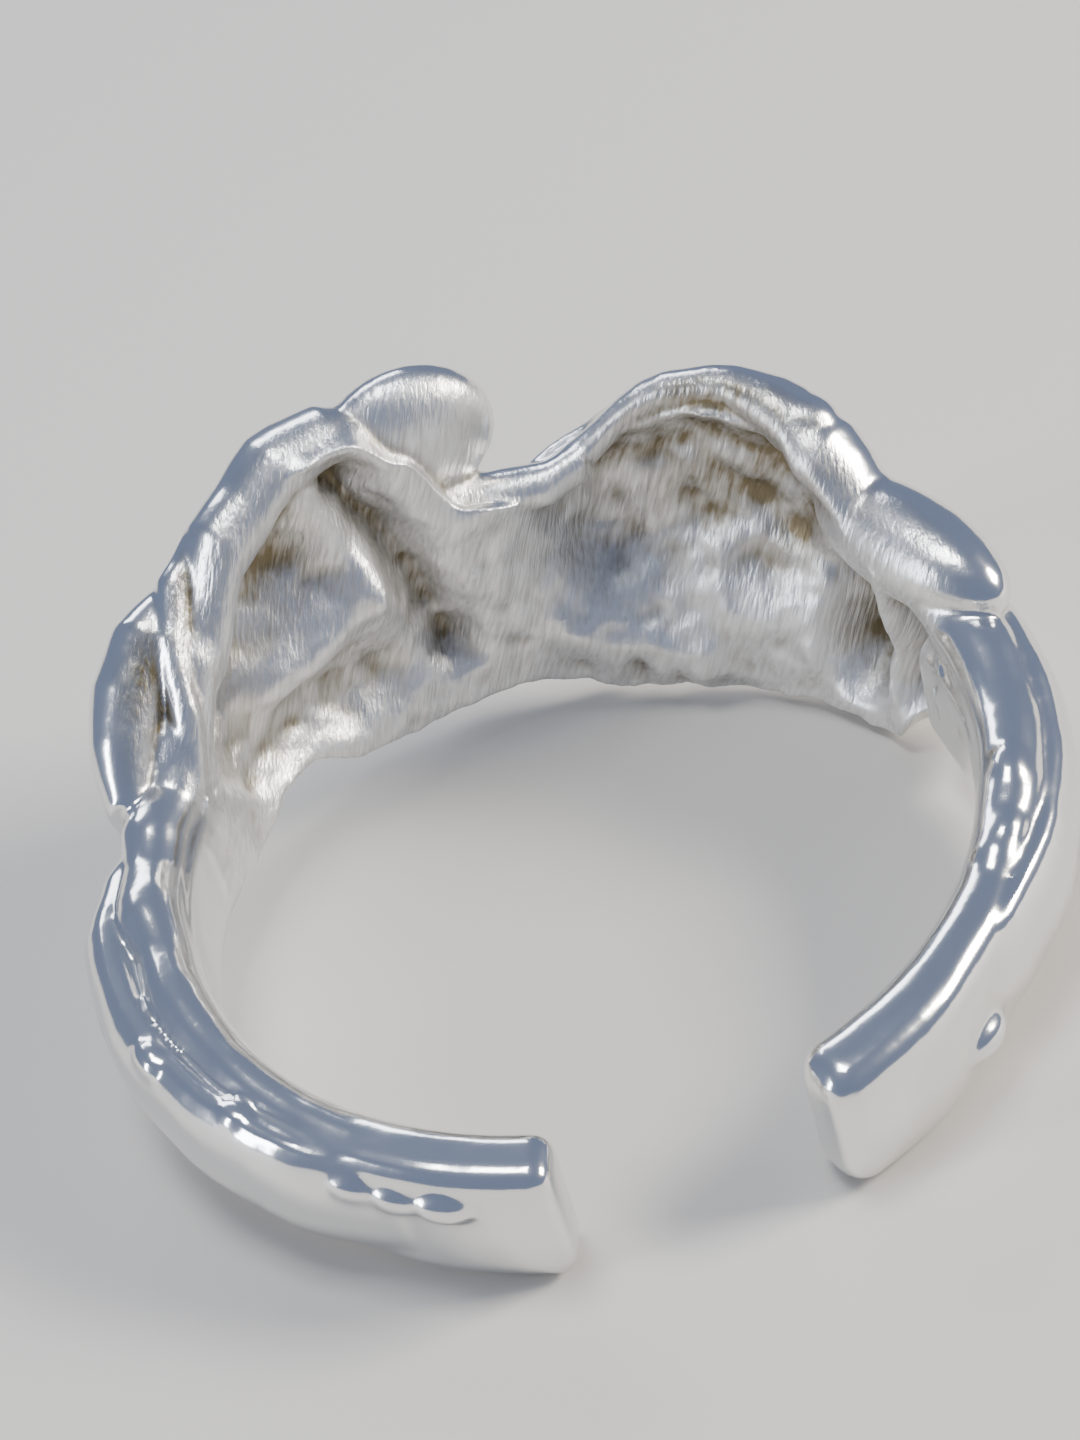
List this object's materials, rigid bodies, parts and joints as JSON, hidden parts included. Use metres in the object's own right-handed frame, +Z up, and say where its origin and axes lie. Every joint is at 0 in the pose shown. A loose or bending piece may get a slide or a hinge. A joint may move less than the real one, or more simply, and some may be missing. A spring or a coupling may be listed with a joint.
{
  "type": "open finger ring",
  "caption": "Open-ended finger ring with a hollow-backed lobed front, rolled rims and two bendable shank arms that end in plain rounded tips.",
  "frame": {"origin": "centre of the footprint, on the surface that the ring lies on", "axes": "+Z up from that surface, +Y towards the lobed front, -Y towards the gap between the free ends, +X to the right seen from the gap; the finger axis leans 5.45 degrees from +Z towards -Y"},
  "size_m": [0.0226, 0.021, 0.0107],
  "materials": {
    "polished_silver": "polished sterling silver",
    "satin_silver": "brushed silver, darkened in the recesses"
  },
  "bodies": {
    "front": {"centre_bridge": "satin_silver", "left_upper_petal": "satin_silver", "left_lower_petal": "satin_silver", "right_upper_petal": "satin_silver", "right_lower_petal": "satin_silver", "right_side_petal": "satin_silver", "left_rim": "polished_silver", "right_rim": "polished_silver", "left_rim_twist": "polished_silver", "saddle_rim": "polished_silver", "left_wing": "polished_silver", "left_front_dome": "polished_silver", "right_rim_knob": "polished_silver", "right_shoulder_dome": "polished_silver"},
    "left_arm": {"left_shank": "polished_silver", "left_outer_strand": "polished_silver", "left_inner_strand": "polished_silver", "left_beads": "polished_silver"},
    "right_arm": {"right_shank": "polished_silver", "right_outer_strand": "polished_silver", "right_outer_leaf": "polished_silver", "right_inner_strand": "polished_silver", "right_beads": "polished_silver"}
  },
  "joints": [
    {"name": "left_arm_flex", "type": "hinge", "parent": "front", "child": "left_arm", "pos_m": [-0.00854, 0.00389, 0.00304], "axis": [0, 0.095, -0.9955], "range_deg": [-5, 8]},
    {"name": "right_arm_flex", "type": "hinge", "parent": "front", "child": "right_arm", "pos_m": [0.00929, 0.00076, 0.00274], "axis": [0, -0.095, 0.9955], "range_deg": [-5, 8]}
  ]
}
